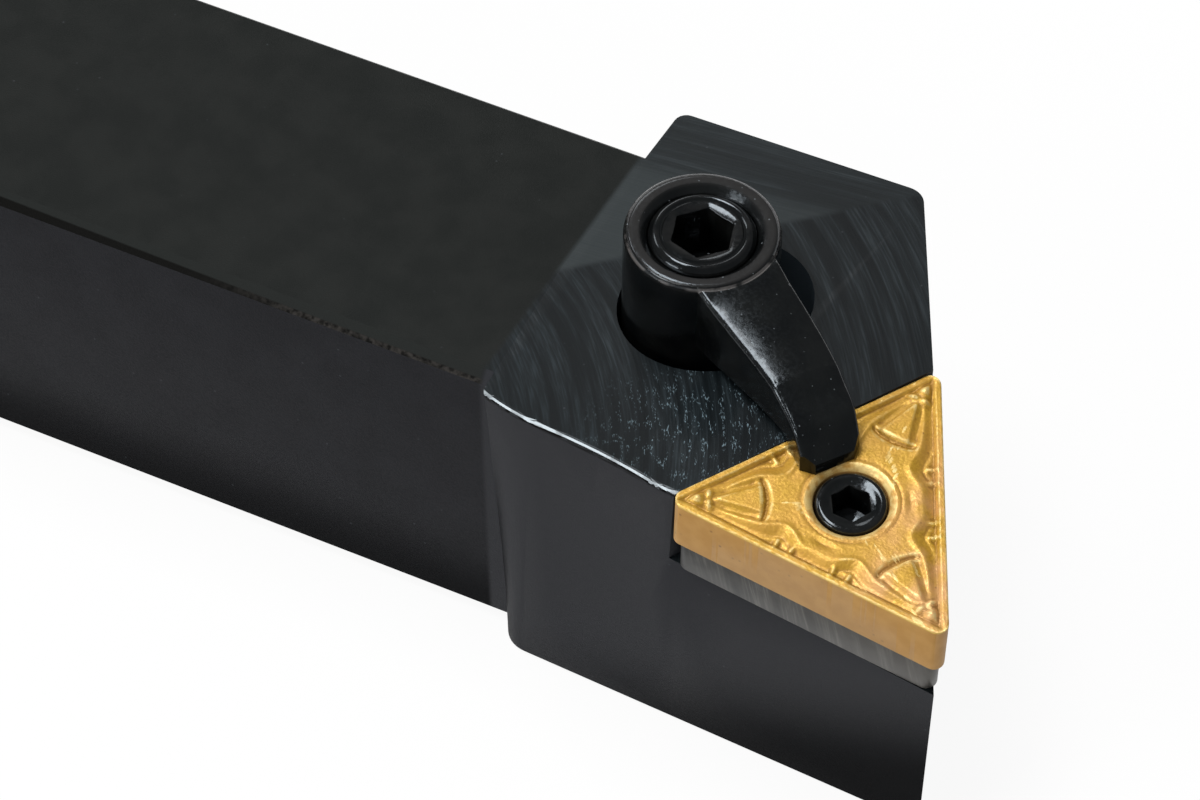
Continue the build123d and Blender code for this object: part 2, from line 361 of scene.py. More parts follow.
def round_ring(sides, radius_at, height):
    """Ring of points, its radius a number or a function of the angle."""
    ring = []
    for k in range(sides):
        angle = tau * k / sides
        radius = radius_at(angle) if callable(radius_at) else radius_at
        ring.append((radius * cos(angle), radius * sin(angle), height))
    return ring


def socket_rings(sides, flats, turn, top, depth):
    """Rings up a hexagon socket, from its drilled bottom to its lightly chamfered mouth."""

    def wall(angle):
        return hexagon_radius(angle, flats, turn)

    return [
        round_ring(sides, 0.2, top - depth - 0.35 * flats / 2),
        round_ring(sides, flats / 2 * 0.98, top - depth),
        round_ring(sides, wall, top - depth),
        round_ring(sides, wall, top - 0.10),
        round_ring(sides, lambda angle: wall(angle) + 0.07, top - 0.02),
    ]


def threaded_rows(sides, radius, pitch, hand, bottom, top):
    """Rings down a threaded stretch."""
    count = ceil((top - bottom) / pitch * 8)
    rows = []
    for k in range(count + 1):
        height = top - (top - bottom) * k / count

        def radius_at(angle, height=height):
            return thread_radius(angle, height, radius, pitch, hand, bottom, top)

        rows.append(round_ring(sides, radius_at, height))
    return rows


def make_clamp_screw(material):
    """Double-ended screw: socket and turned head, left-hand thread, neck, right-hand thread."""
    sides = 120
    turn = radians(SCREW_SOCKET_TURN - ARM_HEADING)
    top = SCREW_TOP
    rings = socket_rings(sides, SCREW_SOCKET, turn, top - 0.1, SCREW_SOCKET_DEPTH)
    # flat round the socket, a turned groove, the bead and the chamfer outside it
    for radius, drop in (
        (2.62, 0.03), (2.75, 0.02), (2.86, 0.12), (2.98, 0.12), (3.08, 0.03), (3.2, 0.0), (3.34, 0.02),
        (3.46, 0.12), (3.62, 0.26), (3.76, 0.42), (3.8, 0.55),
    ):
        rings.append(round_ring(sides, radius, top - drop))
    neck_top, neck_bottom = SCREW_NECK_PLACE + 1.0, SCREW_NECK_PLACE - 1.0
    foot = top - SCREW_LENGTH
    rings += threaded_rows(sides, SCREW_RADIUS, THREAD_PITCH, -1, neck_top + 0.6, top - 0.6)
    rings.append(round_ring(sides, SCREW_NECK, neck_top))
    rings.append(round_ring(sides, SCREW_NECK, neck_bottom))
    rings += threaded_rows(sides, SCREW_RADIUS, THREAD_PITCH, 1, foot + 0.5, neck_bottom - 0.6)
    rings.append(round_ring(sides, SCREW_RADIUS - 0.5, foot))
    points, faces = skin(rings)
    return new_piece(
        "clamp_screw_threaded", points, faces, SCREW, [material], "screw", "clamp_screw", 40
    )


def make_lock_pin(material):
    """Pin that fills the insert's hole, with a collar on the shim and a thread below it."""
    sides = 96
    rings = socket_rings(sides, PIN_SOCKET, radians(PIN_SOCKET_TURN), PIN_TOP - 0.14, PIN_SOCKET_DEPTH)
    # funnel down to the socket, bright ring and rounded outer edge
    for radius, drop in (
        (1.62, 0.14), (1.85, 0.08), (2.02, 0.0), (2.2, 0.0), (2.34, 0.05), (2.44, 0.15), (2.5, 0.3),
    ):
        rings.append(round_ring(sides, radius, PIN_TOP - drop))
    taper = PIN_COLLAR - PIN_THREAD_RADIUS
    rings.append(round_ring(sides, PIN_RADIUS, PIN_SEAT + 0.04))
    rings.append(round_ring(sides, PIN_RADIUS + 0.04, PIN_SEAT))
    rings.append(round_ring(sides, PIN_COLLAR - 0.05, PIN_SEAT))
    rings.append(round_ring(sides, PIN_COLLAR - 0.03, PIN_SEAT - 0.05))
    rings.append(round_ring(sides, PIN_THREAD_RADIUS, PIN_SEAT - taper))
    rings += threaded_rows(sides, PIN_THREAD_RADIUS, PIN_PITCH, 1, PIN_FOOT + 0.3, PIN_SEAT - taper - 0.6)
    rings.append(round_ring(sides, PIN_THREAD_RADIUS - 0.3, PIN_FOOT))
    points, faces = skin(rings)
    return new_piece("lock_pin_threaded", points, faces, SEAT, [material], "pin", "lock_pin", 40)


# ---------------------------------------------------------------- holder, shim and clamp


def make_holder(material):
    """Holder with every edge slightly eased, and the far corner of its head's shoulder rounded."""

    def far_corner(edge):
        low, high = edge.verts[0].co, edge.verts[1].co
        upright = abs(high.z - low.z) > 5.0 and hypot(high.x - low.x, high.y - low.y) < 0.5
        return upright and low.y > 15.0 and low.x < 3.0

    easing = {"width": 0.14, "segments": 2, "limit_method": "ANGLE", "angle_limit": radians(24)}
    mesh = settled_mesh(frame["nodes"]["holder_body"], [("BEVEL", easing)], rounded=far_corner, radius=0.9)
    return dress(mesh, "holder_body_eased", [material], "holder", "holder_body", 24)


def make_shim(material):
    """Shim with its edges lightly eased."""
    easing = {"width": 0.07, "segments": 2, "limit_method": "ANGLE", "angle_limit": radians(30)}
    mesh = settled_mesh(frame["nodes"]["shim"], [("BEVEL", easing)])
    return dress(mesh, "shim_eased", [material], "holder", "shim", 30)


def arm_sag(station, across, height):
    """How far the arm's top lies under the flat one: cambered across, with two small dents at its bend."""
    top = CLAMP_TOP - ARM_SLOPE * (station - BOSS_RADIUS)
    upper = ease(height, top * 0.45, top * 0.7)
    camber = 0.020 + 0.0035 * (station - BOSS_RADIUS)
    camber *= ease(station, ARM_START, 7.0) * (1 - ease(station, 14.6, 17.3))
    dents = 0.10 * bell(hypot((station - 15.6) / 0.55, (across - 0.5) / 0.28), 1.0)
    dents += 0.09 * bell(hypot((station - 15.9) / 0.5, (across - 1.3) / 0.25), 1.0)
    dents += 0.012 * noise.noise((station * 1.1, across * 1.1, 1.0)) * ease(station, 6.0, 8.0)
    return (camber * across * across + dents) * upper


def make_clamp(material):
    """Clamp with its edges rounded like a forging, meshed finely enough to take the camber of its arm."""
    along, across = to_insert, Vector((-to_insert.y, to_insert.x, 0))
    foot = screw_foot / MM
    cuts = [(foot + along * (6.0 + 0.8 * k), along) for k in range(16)]
    cuts += [(foot + across * (-3.0 + 0.6 * k), across) for k in range(11)]
    easing = {"width": 0.16, "segments": 3, "limit_method": "ANGLE", "angle_limit": radians(24)}
    finer = {"subdivision_type": "SIMPLE", "levels": 1}
    steps = [("BEVEL", easing), ("TRIANGULATE", {}), ("SUBSURF", finer)]
    mesh = settled_mesh(frame["nodes"]["clamp"], steps, cuts)
    for vertex in mesh.vertices:
        way = vertex.co - foot
        station = way.dot(along)
        if station > ARM_START:
            vertex.co.z -= arm_sag(station, way.dot(across), way.z)
    return dress(mesh, "clamp_forged", [material], "clamp", "clamp", 60)


# ---------------------------------------------------------------- shader nodes


def connect(tree, value, socket):
    """Sets a socket to a value, or links it to another socket. A colour may be given without its alpha."""
    if isinstance(value, bpy.types.NodeSocket):
        tree.links.new(value, socket)
    elif socket.type == "RGBA":
        socket.default_value = (*value[:3], 1.0)
    else:
        socket.default_value = value


def add_node(tree, kind, inputs=None, **settings):
    """Adds a shader node; inputs maps a socket's name or number to a value or to another socket."""
    made = tree.nodes.new("ShaderNode" + kind)
    for key, value in settings.items():
        setattr(made, key, value)
    for key, value in (inputs or {}).items():
        connect(tree, value, made.inputs[key])
    return made


def maths(tree, operation, first, second=0.0, clamp=False):
    """Output of a maths node."""
    return add_node(tree, "Math", {0: first, 1: second}, operation=operation, use_clamp=clamp).outputs[0]


def times(tree, first, *others):
    """Product of two or more values."""
    for other in others:
        first = maths(tree, "MULTIPLY", first, other)
    return first


def vector_maths(tree, operation, first, second=(0.0, 0.0, 0.0)):
    """Output of a vector maths node: a number for a length, a distance or a dot product, or else a vector."""
    made = add_node(tree, "VectorMath", {0: first, 1: second}, operation=operation)
    return made.outputs["Value" if operation in ("LENGTH", "DISTANCE", "DOT_PRODUCT") else "Vector"]


def axes(tree, vector):
    """X, Y and Z of a vector."""
    parts = add_node(tree, "SeparateXYZ", {"Vector": vector}).outputs
    return parts["X"], parts["Y"], parts["Z"]


def ramp(tree, value, low, high, to_low=0.0, to_high=1.0):
    """Output that goes smoothly from to_low to to_high as the value goes from low to high."""
    sockets = {"Value": value, "From Min": low, "From Max": high, "To Min": to_low, "To Max": to_high}
    return add_node(tree, "MapRange", sockets, interpolation_type="SMOOTHSTEP").outputs["Result"]


def between(tree, factor, first, second):
    """Value between two others."""
    return add_node(tree, "Mix", {"Factor": factor, 2: first, 3: second}).outputs[0]


def blend(tree, factor, first, second):
    """Colour between two others."""
    return add_node(tree, "Mix", {"Factor": factor, 6: first, 7: second}, data_type="RGBA").outputs[2]


# ---------------------------------------------------------------- shared effects


def new_group(name, inputs, outputs):
    """Empty shader group with named sockets; returns its tree, its input sockets and its output sockets."""
    tree = bpy.data.node_groups.new(name, "ShaderNodeTree")
    for socket, kind in inputs:
        tree.interface.new_socket(name=socket, in_out="INPUT", socket_type="NodeSocket" + kind)
    for socket, kind in outputs:
        tree.interface.new_socket(name=socket, in_out="OUTPUT", socket_type="NodeSocket" + kind)
    return tree, tree.nodes.new("NodeGroupInput").outputs, tree.nodes.new("NodeGroupOutput").inputs


def mottle_group():
    """Soft blotches, as oxide and oil leave on steel."""
    sockets = [("Vector", "Vector"), ("Scale", "Float"), ("Detail", "Float")]
    tree, given, result = new_group("mottle", sockets, [("Mask", "Float")])
    noise_inputs = {"Vector": given["Vector"], "Scale": given["Scale"], "Detail": given["Detail"]}
    cloud = add_node(tree, "TexNoise", noise_inputs)
    connect(tree, ramp(tree, cloud.outputs["Fac"], 0.32, 0.68), result["Mask"])
    return tree


def specks_group():
    """Small scattered dots; Amount is the share of the cells that hold one."""
    sockets = [("Vector", "Vector"), ("Scale", "Float"), ("Size", "Float"), ("Amount", "Float")]
    tree, given, result = new_group("specks", sockets, [("Mask", "Float")])
    cells = add_node(tree, "TexVoronoi", {"Vector": given["Vector"], "Scale": given["Scale"]})
    lot = add_node(tree, "SeparateColor", {"Color": cells.outputs["Color"]})
    dot = ramp(tree, cells.outputs["Distance"], given["Size"], 0.0)
    chosen = maths(tree, "LESS_THAN", lot.outputs["Red"], given["Amount"])
    connect(tree, times(tree, dot, lot.outputs["Green"], chosen), result["Mask"])
    return tree


def tool_marks_group():
    """Fine lines in broad bands along Y of the vector, as a cutter or a grinding wheel leaves."""
    sockets = [("Vector", "Vector"), ("Scale", "Float"), ("Length", "Float")]
    tree, given, result = new_group("tool_marks", sockets, [("Height", "Float"), ("Mask", "Float")])
    x, y, z = axes(tree, given["Vector"])
    lengthwise = maths(tree, "DIVIDE", y, given["Length"])
    stretched = add_node(tree, "CombineXYZ", {"X": x, "Y": lengthwise, "Z": z}).outputs[0]
    fine = add_node(tree, "TexNoise", {"Vector": stretched, "Scale": given["Scale"], "Detail": 3.0})
    broad_scale = times(tree, given["Scale"], 0.22)
    broad = add_node(tree, "TexNoise", {"Vector": stretched, "Scale": broad_scale, "Detail": 2.0})
    lines = ramp(tree, fine.outputs["Fac"], 0.42, 0.70)
    bands = ramp(tree, broad.outputs["Fac"], 0.35, 0.68)
    connect(tree, fine.outputs["Fac"], result["Height"])
    strength = maths(tree, "ADD", times(tree, lines, 0.75), 0.25)
    connect(tree, times(tree, bands, strength), result["Mask"])
    return tree


def edge_wear_and_highlight_group():
    """Where a finely meshed surface bends outwards, broken up by noise."""
    sockets = [("Vector", "Vector"), ("Sharpness", "Float"), ("Scale", "Float")]
    tree, given, result = new_group("edge_wear_and_highlight", sockets, [("Mask", "Float")])
    bend = add_node(tree, "NewGeometry").outputs["Pointiness"]
    edge = ramp(tree, bend, 0.505, maths(tree, "ADD", 0.5, given["Sharpness"]))
    cloud = add_node(tree, "TexNoise", {"Vector": given["Vector"], "Scale": given["Scale"], "Detail": 4.0})
    connect(tree, times(tree, edge, ramp(tree, cloud.outputs["Fac"], 0.3, 0.6)), result["Mask"])
    return tree


GROUPS = {
    "mottle": mottle_group(),
    "specks": specks_group(),
    "tool_marks": tool_marks_group(),
    "edge_wear_and_highlight": edge_wear_and_highlight_group(),
}


def effect(tree, name, **inputs):
    """Places one of the shared effects and returns its outputs."""
    made = tree.nodes.new("ShaderNodeGroup")
    made.node_tree = GROUPS[name]
    for key, value in inputs.items():
        connect(tree, value, made.inputs[key])
    return made.outputs


# ---------------------------------------------------------------- materials


def new_material(name, **constants):
    """Material with a Principled shader; constants are set on its sockets, _ standing for a space.

    Returns the material, its node tree, its shader and the place on the object in millimetres.
    """
    material = bpy.data.materials.new(name)
    material.use_nodes = True
    tree = material.node_tree
    shader = tree.nodes["Principled BSDF"]
    for key, value in constants.items():
        connect(tree, value, shader.inputs[key.replace("_", " ")])
    spot = add_node(tree, "TexCoord").outputs["Object"]
    in_mm = add_node(tree, "VectorMath", {0: spot, "Scale": 1 / MM}, operation="SCALE").outputs["Vector"]
    return material, tree, shader, in_mm


def bump(tree, shader, height, strength, distance_mm, form_mm=None):
    """Feeds a fine height to the shader's normal, over a wider form given in millimetres if there is one."""
    fine = add_node(tree, "Bump", {"Height": height, "Strength": strength, "Distance": distance_mm * MM})
    if form_mm:
        wide = add_node(tree, "Bump", {"Height": form_mm, "Strength": 1.0, "Distance": MM})
        connect(tree, wide.outputs["Normal"], fine.inputs["Normal"])
    connect(tree, fine.outputs["Normal"], shader.inputs["Normal"])


def in_plan(tree, x, y, centre):
    """X and Y from a centre, and the distance from it in plan."""
    dx, dy = maths(tree, "SUBTRACT", x, centre.x), maths(tree, "SUBTRACT", y, centre.y)
    return dx, dy, maths(tree, "SQRT", maths(tree, "ADD", times(tree, dx, dx), times(tree, dy, dy)))


def milled_marks(tree, x, y):
    """Marks on the head's top: straight on its far strip, and wide sweeps of the cutter on the rest.

    Returns their mask, their height, the mask of the far strip and the vector that follows the sweeps.
    """
    lengthwise = add_node(tree, "CombineXYZ", {"X": y, "Y": x}).outputs[0]
    straight = effect(tree, "tool_marks", Vector=lengthwise, Scale=5.0, Length=30.0)
    dx, dy, distance = in_plan(tree, x, y, screw_foot / MM + Vector((*SWEEP_CENTRE, 0.0)))
    round_way = times(tree, maths(tree, "ARCTAN2", dy, dx), hypot(*SWEEP_CENTRE))
    sweep = add_node(tree, "CombineXYZ", {"X": distance, "Y": round_way}).outputs[0]
    circular = effect(tree, "tool_marks", Vector=sweep, Scale=6.5, Length=22.0)
    past_line = maths(tree, "SUBTRACT", y, maths(tree, "ADD", times(tree, x, STRIP_SLOPE), STRIP_START))
    far_strip = ramp(tree, past_line, -0.5, 0.5)
    mask = between(tree, far_strip, circular["Mask"], straight["Mask"])
    height = between(tree, far_strip, circular["Height"], straight["Height"])
    return mask, height, far_strip, sweep


def head_edge(tree, x, y, normal_y, normal_z, on_head):
    """Masks of the rounded edge over the head's cutting side: its upper part, where a highlight is painted,
    and all of it, painted in shade.
    """
    rounding = times(tree, ramp(tree, normal_y, -0.15, -0.40), ramp(tree, y, NEAR_SIDE, NEAR_SIDE - 0.2))
    whole = times(tree, rounding, on_head, ramp(tree, normal_z, 0.10, 0.25))
    fading_in = ramp(tree, x, 0.3, 3.0, 0.5, 1.0)
    upper = times(tree, rounding, ramp(tree, normal_z, 0.50, 0.70), on_head, fading_in)
    return upper, whole


def holder_sides(tree, x, z, normal_x, on_head, blotches):
    """Colour of the holder's sides, and the share of painted light on them: the sides are darker downwards
    and on faces that look back, in painted shade.
    """
    # painted light and shade: the sides are lighter upwards and darker downwards, and the head's shoulder
    # darker where it looks back
    painted_light_shank = ramp(tree, z, 0.0, 10.0)
    over_slope = maths(tree, "SUBTRACT", z, times(tree, x, 0.42))
    shoulder = ramp(tree, normal_x, -0.42, -0.80, 1.0, 0.35)
    painted_light = between(tree, on_head, painted_light_shank, times(tree, ramp(tree, over_slope, -10.0, 3.0), shoulder))
    colour = blend(tree, blotches, (0.0066, 0.0070, 0.0092), (0.0086, 0.0091, 0.0116))
    colour = blend(tree, on_head, colour, (0.0205, 0.0215, 0.0250))
    # where there is little painted light, the sides take a dark painted shade
    return blend(tree, painted_light, (0.0048, 0.0050, 0.0056), colour), painted_light


def bevel_wear(tree, spot, bevel, colour):
    """Colour of the shank's bevels: a dark line, narrower towards the head, with paler flecks."""
    x, _, z = axes(tree, spot)
    line_top = ramp(tree, x, -95.0, -2.0, SHANK_TOP + 0.05, SHANK_TOP - 0.55)
    line = times(tree, bevel, ramp(tree, maths(tree, "SUBTRACT", z, line_top), 0.05, -0.05))
    colour = blend(tree, bevel, colour, (0.0155, 0.0172, 0.0164))
    colour = blend(tree, line, colour, (0.0042, 0.0042, 0.0038))
    ends = maths(tree, "ADD", ramp(tree, x, -48.0, -62.0), ramp(tree, x, -24.0, -12.0), True)
    flecks = effect(tree, "mottle", Vector=spot, Scale=2.6, Detail=8.0)["Mask"]
    return blend(tree, times(tree, flecks, ends, line), colour, (0.030, 0.028, 0.026))


def holder_steel():
    """Blackened steel: ground shank with flecked bevels, milled head with straight and sweeping cutter marks,
    painted light and shade on its sides, painted shade and highlight on the head's cutting edge, painted
    sheen and glints on its top, painted light in the clamp's recess.
    """
    material, tree, shader, spot = new_material("holder_black_oxide", Metallic=0.0)
    # where the head, its top, its worn edge and the shank's bevels are
    x, y, z = axes(tree, spot)
    geometry = add_node(tree, "NewGeometry").outputs
    _, normal_y, normal_z = axes(tree, geometry["True Normal"])
    smooth_normal_x, _, _ = axes(tree, geometry["Normal"])
    upward = ramp(tree, normal_z, 0.80, 0.92)
    on_head = ramp(tree, x, -0.35, 0.15)
    head_top = times(tree, upward, on_head)
    from_slant = maths(tree, "SUBTRACT", maths(tree, "ABSOLUTE", normal_z), BEVEL_NORMAL)
    slanted = ramp(tree, maths(tree, "ABSOLUTE", from_slant), 0.10, 0.03)
    bevel = times(tree, slanted, maths(tree, "SUBTRACT", 1.0, on_head))
    edge, edge_painted_shade = head_edge(tree, x, y, normal_y, normal_z, on_head)

    # marks, stains and dust, painted glints on the head's top, and patches that break up the painted
    # highlight on its cutting edge
    marks, lines, far_strip, sweep = milled_marks(tree, x, y)
    blotches = effect(tree, "mottle", Vector=spot, Scale=0.35, Detail=6.0)["Mask"]
    grit = effect(tree, "mottle", Vector=spot, Scale=9.0, Detail=3.0)["Mask"]
    dust = effect(tree, "specks", Vector=spot, Scale=1.3, Size=0.16, Amount=0.10)["Mask"]
    scratches = effect(tree, "tool_marks", Vector=sweep, Scale=13.0, Length=4.5)["Mask"]
    from_glints = vector_maths(tree, "DISTANCE", spot, GLINTS_PLACE)
    glints = times(tree, ramp(tree, scratches, 0.42, 0.85), ramp(tree, from_glints, 10.0, 2.0), head_top)
    patches = effect(tree, "mottle", Vector=spot, Scale=0.9, Detail=4.0)["Mask"]
    painted_edge_highlight = times(tree, edge, ramp(tree, patches, 0.0, 0.6, 0.55, 1.0))

    # colour, from the sides to the bevels, dust, painted shade and painted highlights that lie over all of it
    sides, painted_light = holder_sides(tree, x, z, smooth_normal_x, on_head, blotches)
    _, _, from_screw = in_plan(tree, x, y, screw_foot / MM)
    # painted light: the walls of the clamp's recess are lighter than the other sides
    recess_painted_light = ramp(tree, from_screw, RECESS_REACH + 0.2, RECESS_REACH)
    sides = blend(tree, recess_painted_light, sides, (0.018, 0.024, 0.029))
    shank_top = blend(tree, blotches, (0.0058, 0.0072, 0.0066), (0.0088, 0.0102, 0.0094))
    milled = blend(tree, marks, (0.0030, 0.0048, 0.0058), (0.019, 0.026, 0.030))
    # painted sheen: the far strip's straight marks are real, but its lighter tone, fading towards its far
    # edge, is painted
    strip_painted_sheen = times(tree, far_strip, ramp(tree, y, 12.4, 9.4, 0.20, 0.95))
    milled = blend(tree, strip_painted_sheen, milled, (0.023, 0.029, 0.031))
    colour = blend(tree, upward, sides, shank_top)
    colour = blend(tree, head_top, colour, milled)
    colour = bevel_wear(tree, spot, bevel, colour)
    colour = blend(tree, times(tree, dust, 0.5), colour, (0.08, 0.09, 0.10))
    # painted shade over the rounded cutting edge, a painted highlight over its upper part, and painted glints
    # on the head's top
    colour = blend(tree, edge_painted_shade, colour, (0.003, 0.003, 0.003))
    colour = blend(tree, painted_edge_highlight, colour, (0.50, 0.56, 0.60))
    colour = blend(tree, glints, colour, (0.12, 0.17, 0.195))
    connect(tree, colour, shader.inputs["Base Color"])

    # roughness, gloss and relief
    ground_rough = ramp(tree, grit, 0.0, 1.0, 0.44, 0.52)
    milled_rough = ramp(tree, marks, 0.0, 1.0, 0.42, 0.30)
    connect(tree, between(tree, head_top, ground_rough, milled_rough), shader.inputs["Roughness"])
    gloss = ramp(tree, painted_light, 0.0, 1.0, 0.012, 0.070)
    for area, area_gloss in ((upward, 0.09), (bevel, 0.03), (head_top, 0.12), (edge, 0.5)):
        gloss = between(tree, area, gloss, area_gloss)
    connect(tree, gloss, shader.inputs["Specular IOR Level"])
    bump(tree, shader, between(tree, head_top, times(tree, grit, 0.25), lines), 0.40, 0.06)
    return material


def gold_coating():
    """Golden coated top of the insert: grainy pressed surface with warm stains and dark specks, painted
    highlights on its ridges and painted shade in its hollows.
    """
    material, tree, shader, spot = new_material("insert_gold", Metallic=0.3, Specular_IOR_Level=0.4)
    centre = insert_centre / MM
    grain = effect(tree, "mottle", Vector=spot, Scale=5.0, Detail=5.0)["Mask"]
    stain = effect(tree, "mottle", Vector=spot, Scale=0.42, Detail=5.0)["Mask"]
    specks = effect(tree, "specks", Vector=spot, Scale=2.0, Size=0.24, Amount=0.30)["Mask"]
    # painted highlight: light gold where the pressed relief bends outwards
    ridge_highlight = effect(tree, "edge_wear_and_highlight", Vector=spot, Sharpness=0.03, Scale=1.5)["Mask"]
    near_bore = ramp(tree, vector_maths(tree, "DISTANCE", spot, centre), 3.9, 2.8)
    end_side = ramp(tree, axes(tree, spot)[0], centre.x + 1.5, centre.x + 6.0)
    # painted shade: dark brown in the hollows of the pressed relief
    painted_hollow_shade = ramp(tree, add_node(tree, "NewGeometry").outputs["Pointiness"], 0.4975, 0.480)
    colour = blend(tree, grain, (0.44, 0.240, 0.020), (0.57, 0.330, 0.036))
    for share, amount, tint in (
        (stain, 0.42, (0.58, 0.30, 0.06)),
        (times(tree, stain, end_side), 0.75, (0.66, 0.36, 0.17)),
        (near_bore, 0.40, (0.50, 0.24, 0.08)),
        (ridge_highlight, 0.60, (0.92, 0.74, 0.32)),
        (painted_hollow_shade, 0.55, (0.20, 0.085, 0.010)),
        (specks, 0.80, (0.16, 0.06, 0.02)),
    ):
        colour = blend(tree, times(tree, share, amount), colour, tint)
    connect(tree, colour, shader.inputs["Base Color"])
    connect(tree, ramp(tree, grain, 0.0, 1.0, 0.46, 0.36), shader.inputs["Roughness"])
    bump(tree, shader, grain, 0.25, 0.03)
    return material


def tan_flank():
    """Ground and coated flank of the insert: flat matt tan with a few dark specks and a bright top edge."""
    material, tree, shader, spot = new_material(
        "insert_flank", Metallic=0.15, Roughness=0.5, Specular_IOR_Level=0.3
    )
    cloud = effect(tree, "mottle", Vector=spot, Scale=0.8, Detail=6.0)["Mask"]
    specks = effect(tree, "specks", Vector=spot, Scale=1.3, Size=0.22, Amount=0.50)["Mask"]
    from_face = vector_maths(tree, "SUBTRACT", spot, insert_centre / MM)
    height = vector_maths(tree, "DOT_PRODUCT", from_face, SEAT.col[2].to_3d())
    colour = blend(tree, cloud, (0.387, 0.203, 0.052), (0.433, 0.238, 0.068))
    colour = blend(tree, ramp(tree, height, -0.30, -0.12), colour, (0.62, 0.42, 0.09))
    colour = blend(tree, times(tree, specks, 0.8), colour, (0.10, 0.05, 0.03))
    connect(tree, colour, shader.inputs["Base Color"])
    bump(tree, shader, cloud, 0.1, 0.02)
    return material


def ground_carbide():
    """Grey shim with the wheel's lines up its sides."""
    material, tree, shader, spot = new_material(
        "shim_ground", Metallic=0.5, Roughness=0.42, Specular_IOR_Level=0.3
    )
    x, y, z = axes(tree, vector_maths(tree, "SUBTRACT", spot, insert_centre / MM))
    upright = add_node(tree, "CombineXYZ", {"X": maths(tree, "SUBTRACT", x, y), "Y": z}).outputs[0]
    lines = effect(tree, "tool_marks", Vector=upright, Scale=4.5, Length=14.0)
    cloud = effect(tree, "mottle", Vector=spot, Scale=0.7, Detail=5.0)["Mask"]
    colour = blend(tree, cloud, (0.028, 0.028, 0.027), (0.048, 0.047, 0.044))
    colour = blend(tree, times(tree, ramp(tree, x, -8.0, 8.0), 0.6), colour, (0.105, 0.098, 0.088))
    colour = blend(tree, times(tree, lines["Mask"], 0.6), colour, (0.17, 0.165, 0.15))
    connect(tree, colour, shader.inputs["Base Color"])
    bump(tree, shader, lines["Height"], 0.25, 0.02)
    return material


def boss_top(tree, spot):
    """Rim of the clamp's boss, grey from handling and painted as a highlight, a faint painted sheen inside
    it, and, in millimetres, the height of its rounded edge.
    """
    way = vector_maths(tree, "SUBTRACT", spot, screw_foot / MM)
    radius = vector_maths(tree, "LENGTH", vector_maths(tree, "CROSS_PRODUCT", way, screw_up))
    height = vector_maths(tree, "DOT_PRODUCT", way, screw_up)
    # the rim is grey from handling and painted lighter as a highlight; the ring inside it gets a faint
    # painted sheen
    rim = times(tree, ramp(tree, radius, 5.26, 5.38), ramp(tree, radius, 5.62, 5.54))
    sheen = times(tree, ramp(tree, radius, 4.2, 4.6), ramp(tree, radius, 5.3, 5.0, 0.0, 0.18))
    cloud = effect(tree, "mottle", Vector=spot, Scale=0.5, Detail=4.0)["Mask"]
    wear_and_highlight = maths(tree, "MAXIMUM", times(tree, rim, ramp(tree, cloud, 0.1, 0.6)), sheen)
    past_flat = maths(tree, "SUBTRACT", radius, BOSS_RADIUS - BOSS_ROUND)
    outward = maths(tree, "DIVIDE", past_flat, BOSS_ROUND, True)
    return times(tree, wear_and_highlight, ramp(tree, height, 6.9, 7.05)), times(tree, outward, outward, -0.5 * BOSS_ROUND)


def turned_edges(tree, spot):
    """Wear of the turned pieces, which need no further form."""
    return effect(tree, "edge_wear_and_highlight", Vector=spot, Sharpness=0.08, Scale=1.2)["Mask"], None


def oiled_black(name, wear_highlight_and_form, wear_highlight_amount, speck_amount, rough):
    """Oiled black oxide on forged or turned steel, grey where it has been handled and where a highlight and
    sheen are painted on the clamp's boss.
    """
    material, tree, shader, spot = new_material(
        name, Metallic=0.0, Specular_IOR_Level=0.34, Specular_Tint=(0.80, 0.91, 1.0),
        Coat_Weight=0.10, Coat_Roughness=0.07,
    )
    cloud = effect(tree, "mottle", Vector=spot, Scale=0.45, Detail=6.0)["Mask"]
    grain = effect(tree, "mottle", Vector=spot, Scale=4.0, Detail=5.0)["Mask"]
    specks = effect(tree, "specks", Vector=spot, Scale=2.4, Size=0.2, Amount=speck_amount)["Mask"]
    _, _, upward = axes(tree, add_node(tree, "NewGeometry").outputs["Normal"])
    specks = times(tree, specks, ramp(tree, upward, 0.3, 0.6))
    wear_and_highlight, form = wear_highlight_and_form(tree, spot)
    colour = blend(tree, cloud, (0.0018, 0.0021, 0.0023), (0.0050, 0.0054, 0.0052))
    # grey from handling, and the painted highlight and sheen on the clamp's boss
    colour = blend(tree, times(tree, wear_and_highlight, wear_highlight_amount), colour, (0.124, 0.116, 0.112))
    colour = blend(tree, specks, colour, (0.24, 0.27, 0.29))
    connect(tree, colour, shader.inputs["Base Color"])
    connect(tree, ramp(tree, grain, 0.0, 1.0, rough, rough + 0.1), shader.inputs["Roughness"])
    bump(tree, shader, maths(tree, "ADD", grain, times(tree, specks, 1.5)), 0.08, 0.02, form)
    return material


def pale_floor():
    """White floor that shows white to the camera and in reflections, and keeps a soft shadow."""
    material = bpy.data.materials.new("floor_white")
    material.use_nodes = True
    tree = material.node_tree
    tree.nodes.clear()
    light = add_node(tree, "LightPath").outputs
    mirrored = maths(tree, "MAXIMUM", light["Is Glossy Ray"], light["Is Transmission Ray"])
    seen = maths(tree, "MAXIMUM", light["Is Camera Ray"], mirrored)
    matt = add_node(tree, "BsdfDiffuse", {"Color": (0.82, 0.82, 0.82)}).outputs[0]
    white = add_node(tree, "Emission", {"Color": (1.0, 1.0, 1.0), "Strength": 1.0}).outputs[0]
    mixed = add_node(tree, "MixShader", {0: times(tree, seen, 0.93), 1: matt, 2: white}).outputs[0]
    connect(tree, mixed, add_node(tree, "OutputMaterial").inputs["Surface"])
    return material


# ---------------------------------------------------------------- studio


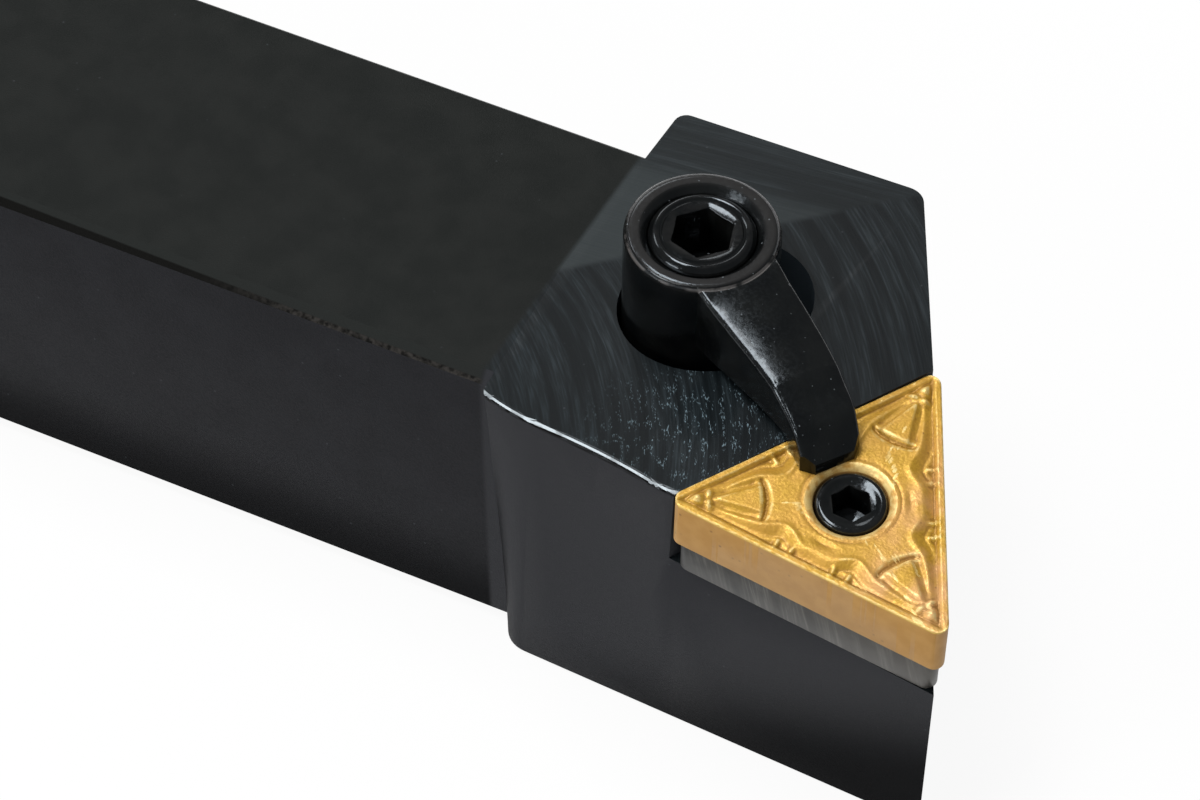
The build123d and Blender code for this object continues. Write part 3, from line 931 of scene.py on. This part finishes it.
def make_floor():
    half, level = 0.9, -0.0002
    corners = [(-half, -half, level), (half, -half, level), (half, half, level), (-half, half, level)]
    mesh = bpy.data.meshes.new("floor")
    mesh.from_pydata(corners, [], [(0, 1, 2, 3)])
    mesh.materials.append(pale_floor())
    floor = bpy.data.objects.new("floor", mesh)
    bpy.context.scene.collection.objects.link(floor)


def softbox(name, spot, along, width, height, watts):
    """Rectangular lamp at a place, turned to the lit middle, its width as near as can be to along."""
    lamp = bpy.data.lights.new(name, "AREA")
    lamp.shape = "RECTANGLE"
    lamp.size = width
    lamp.size_y = height
    lamp.energy = watts
    box = bpy.data.objects.new(name, lamp)
    box.matrix_world = local_frame(spot, Vector(spot) - Vector(LIT_MIDDLE), along)
    bpy.context.scene.collection.objects.link(box)


def make_lights():
    """Soft boxes above, in front, at the left and behind, and a dim even world."""
    softbox("key_box", (-0.23, -0.03, 0.93), (0, 1, 0), 0.60, 0.26, 8.0)
    softbox("front_box", (-0.45, -0.80, 0.45), (1, 0, 0), 0.40, 0.30, 4.0)
    softbox("left_box", (-0.80, 0.05, 0.62), (0, 1, 0), 0.30, 0.25, 1.2)
    softbox("back_box", (-0.65, 0.75, 0.60), (1, 0, 0), 0.50, 0.30, 1.3)
    world = bpy.data.worlds.new("studio")
    world.use_nodes = True
    sky = world.node_tree.nodes["Background"]
    sky.inputs["Color"].default_value = (1.0, 1.0, 1.0, 1.0)
    sky.inputs["Strength"].default_value = 0.2
    bpy.context.scene.world = world


def make_camera():
    """Camera from a place, the directions of the picture's right and down, and its focal length."""
    right = Vector((0.88529, 0.46465, -0.01894))
    down = Vector((0.32709, -0.65111, -0.68489))
    ahead = right.cross(down)
    place = Vector((146.05, -260.62, 328.25))
    lens_px, width_px, sensor = 6025.2, 1200.0, 36.0
    data = bpy.data.cameras.new("camera")
    data.sensor_width = sensor
    data.lens = lens_px / width_px * sensor
    data.clip_start, data.clip_end = 0.01, 10.0
    camera = bpy.data.objects.new("camera", data)
    turn = Matrix((right, -down, -ahead)).transposed()
    camera.matrix_world = Matrix.Translation(place * MM) @ turn.to_4x4()
    bpy.context.scene.collection.objects.link(camera)
    bpy.context.scene.camera = camera


make_holder(holder_steel())
make_shim(ground_carbide())
make_insert([gold_coating(), tan_flank()])
make_clamp(oiled_black("clamp_oiled_black", boss_top, 0.8, 0.34, 0.14))
fastener_black = oiled_black("fastener_oiled_black", turned_edges, 0.12, 0.08, 0.07)
make_clamp_screw(fastener_black)
make_lock_pin(fastener_black)
make_floor()
make_lights()
make_camera()
bpy.context.scene.view_settings.view_transform = "Standard"
